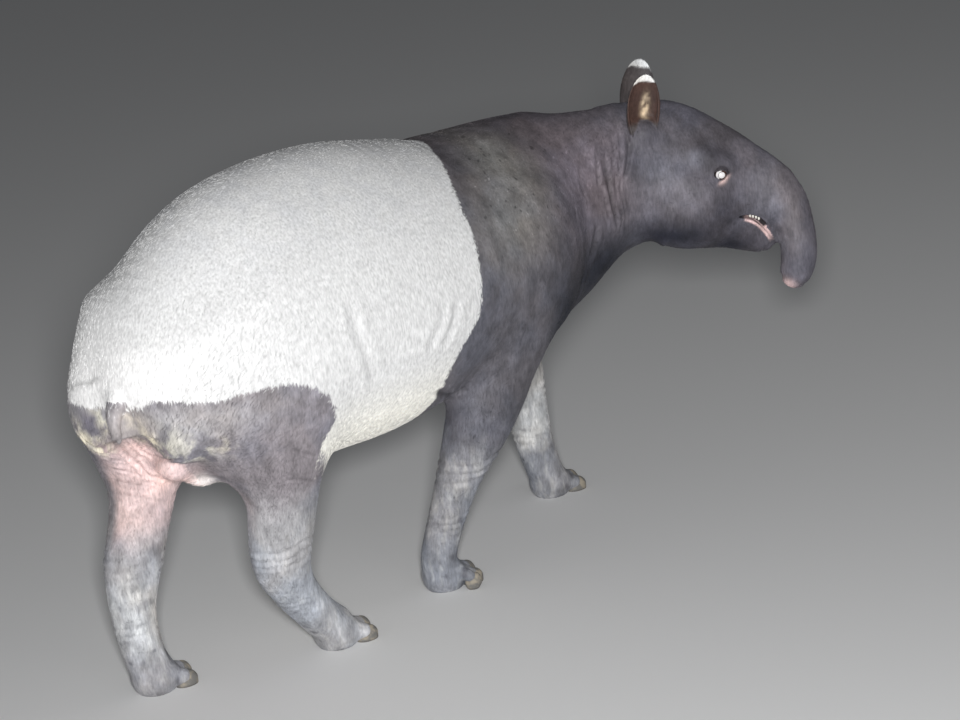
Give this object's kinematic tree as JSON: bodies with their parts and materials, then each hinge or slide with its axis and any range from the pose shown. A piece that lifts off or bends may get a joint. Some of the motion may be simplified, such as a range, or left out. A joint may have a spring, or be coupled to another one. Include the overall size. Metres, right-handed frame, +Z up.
{
  "type": "tapir figure",
  "caption": "Life-size still figure of a Malayan tapir in mid stride, head turned aside, with a white saddle over a dark coat.",
  "frame": {"origin": "middle of the bounding box, on the floor under the soles", "axes": "+X from the rump towards the chest, +Y to the animal's left, +Z up"},
  "size_m": [1.8542, 0.7388, 1.0732],
  "materials": {
    "saddle": "short flat off-white fur",
    "dark_coat": "short flat slate-grey fur",
    "ear": "thin dark skin with a white rim",
    "hoof": "pale muddy horn",
    "eye": "wet dark brown"
  },
  "bodies": {
    "root": {"torso": "saddle", "tail": "dark_coat", "neck": "dark_coat", "head": "dark_coat", "proboscis": "dark_coat", "eye_left": "eye", "eye_right": "eye", "ear_left": "ear", "ear_right": "ear", "foreleg_right_upper": "dark_coat", "foreleg_right_lower": "dark_coat", "foreleg_right_foot": "dark_coat", "foreleg_right_hoof_1": "hoof", "foreleg_right_hoof_2": "hoof", "foreleg_right_hoof_3": "hoof", "foreleg_right_hoof_4": "hoof", "foreleg_left_upper": "dark_coat", "foreleg_left_lower": "dark_coat", "foreleg_left_foot": "dark_coat", "foreleg_left_hoof_1": "hoof", "foreleg_left_hoof_2": "hoof", "foreleg_left_hoof_3": "hoof", "foreleg_left_hoof_4": "hoof", "hindleg_right_upper": "dark_coat", "hindleg_right_lower": "dark_coat", "hindleg_right_foot": "dark_coat", "hindleg_right_hoof_1": "hoof", "hindleg_right_hoof_2": "hoof", "hindleg_right_hoof_3": "hoof", "hindleg_left_upper": "dark_coat", "hindleg_left_lower": "dark_coat", "hindleg_left_foot": "dark_coat", "hindleg_left_hoof_1": "hoof", "hindleg_left_hoof_2": "hoof", "hindleg_left_hoof_3": "hoof"}
  },
  "joints": []
}
